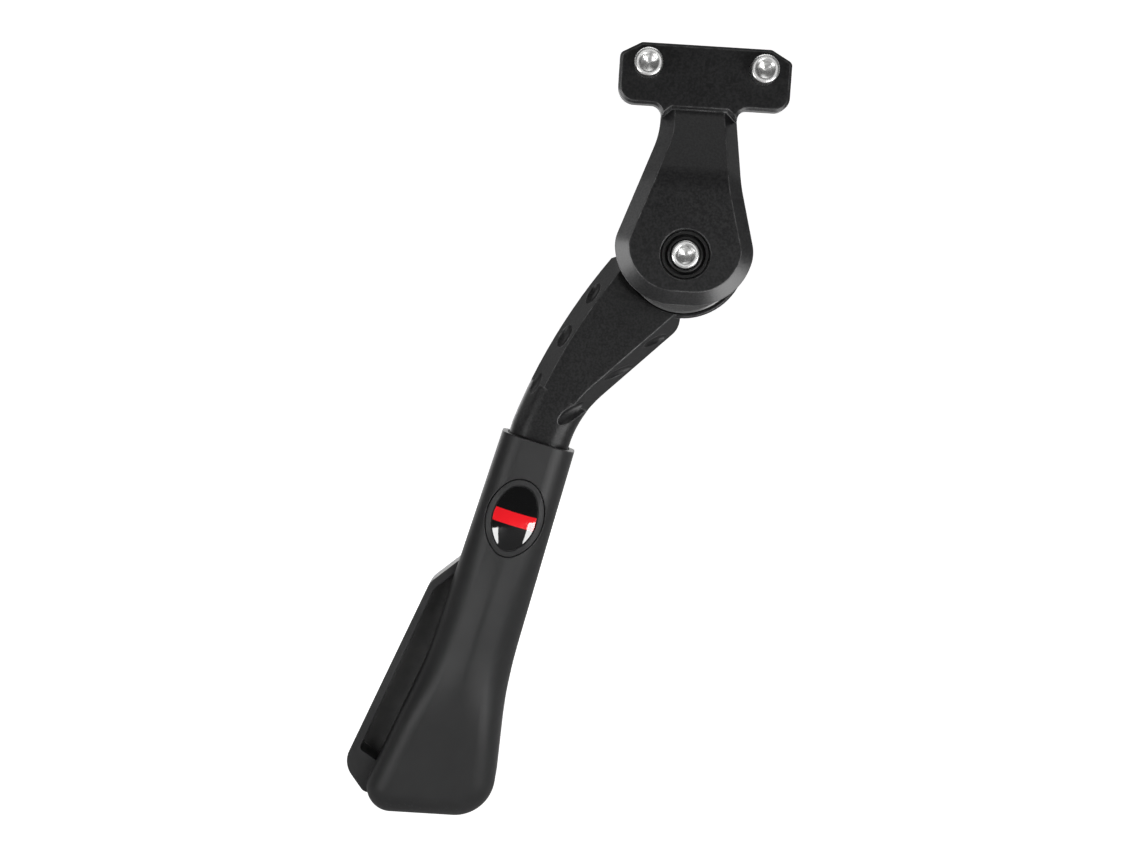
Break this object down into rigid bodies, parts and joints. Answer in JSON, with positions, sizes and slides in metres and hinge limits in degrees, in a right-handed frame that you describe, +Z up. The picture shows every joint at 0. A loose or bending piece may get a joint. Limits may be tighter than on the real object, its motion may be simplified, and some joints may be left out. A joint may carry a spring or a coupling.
{
  "type": "bicycle kickstand",
  "caption": "Rear-mount bicycle kickstand: T-shaped bracket with screws, folding bent leg held by a detent, and a sliding plastic foot with a push button that sets its length.",
  "frame": {"origin": "midway between the two mounting screws, on the flat back face of the plate that meets the bicycle frame", "axes": "+Y out of the back face along the screws, towards the wheel; +Z up; +X towards the bicycle's rear"},
  "size_m": [0.1427, 0.033, 0.2785],
  "materials": {
    "coated_alloy": "satin black coating with a fine grain",
    "plated_steel": "bright zinc plate",
    "black_steel": "black oxide",
    "bare_steel": "ground",
    "spring_steel": "drawn wire",
    "bush_metal": "sintered bronze",
    "washer_plastic": "smooth black nylon",
    "lock_plastic": "white nylon",
    "foot_plastic": "matte moulded black plastic",
    "button_plastic": "satin moulded black plastic",
    "dome_gloss": "clear gloss over black with a red band"
  },
  "bodies": {
    "bracket": {"mount_bracket": "coated_alloy", "mounting_screws": "plated_steel", "pivot_screw": "plated_steel", "cup_washer": "black_steel", "thrust_washer": "washer_plastic", "stop_pin": "bare_steel", "rear_washer": "washer_plastic", "retaining_washer": "bare_steel", "lock_nut": "plated_steel", "lock_ring": "lock_plastic"},
    "leg": {"leg": "coated_alloy", "pivot_bush": "bush_metal", "detent_spring": "spring_steel"},
    "plunger": {"detent_plunger": "bare_steel"},
    "foot": {"foot_shell": "foot_plastic", "button_spring": "spring_steel"},
    "button": {"release_button": "button_plastic", "button_dome": "dome_gloss"}
  },
  "joints": [
    {"name": "leg_fold", "type": "hinge", "parent": "bracket", "child": "leg", "pos_m": [-0.0033, 0, -0.0649], "axis": [0, -1, 0], "range_deg": [0, 100]},
    {"name": "detent", "type": "slide", "parent": "leg", "child": "plunger", "axis": [0.7071, 0, 0.7071], "range_m": [0, 0.001], "stiffness_N_per_m": 1500, "springref_m": 0.006, "deforming": ["detent_spring"]},
    {"name": "foot_slide", "type": "slide", "parent": "leg", "child": "foot", "axis": [-0.2351, 0, -0.972], "range_m": [0, 0.03]},
    {"name": "button_press", "type": "slide", "parent": "foot", "child": "button", "axis": [0, 1, 0], "range_m": [0, 0.002], "stiffness_N_per_m": 1200, "springref_m": -0.002, "deforming": ["button_spring"]}
  ]
}
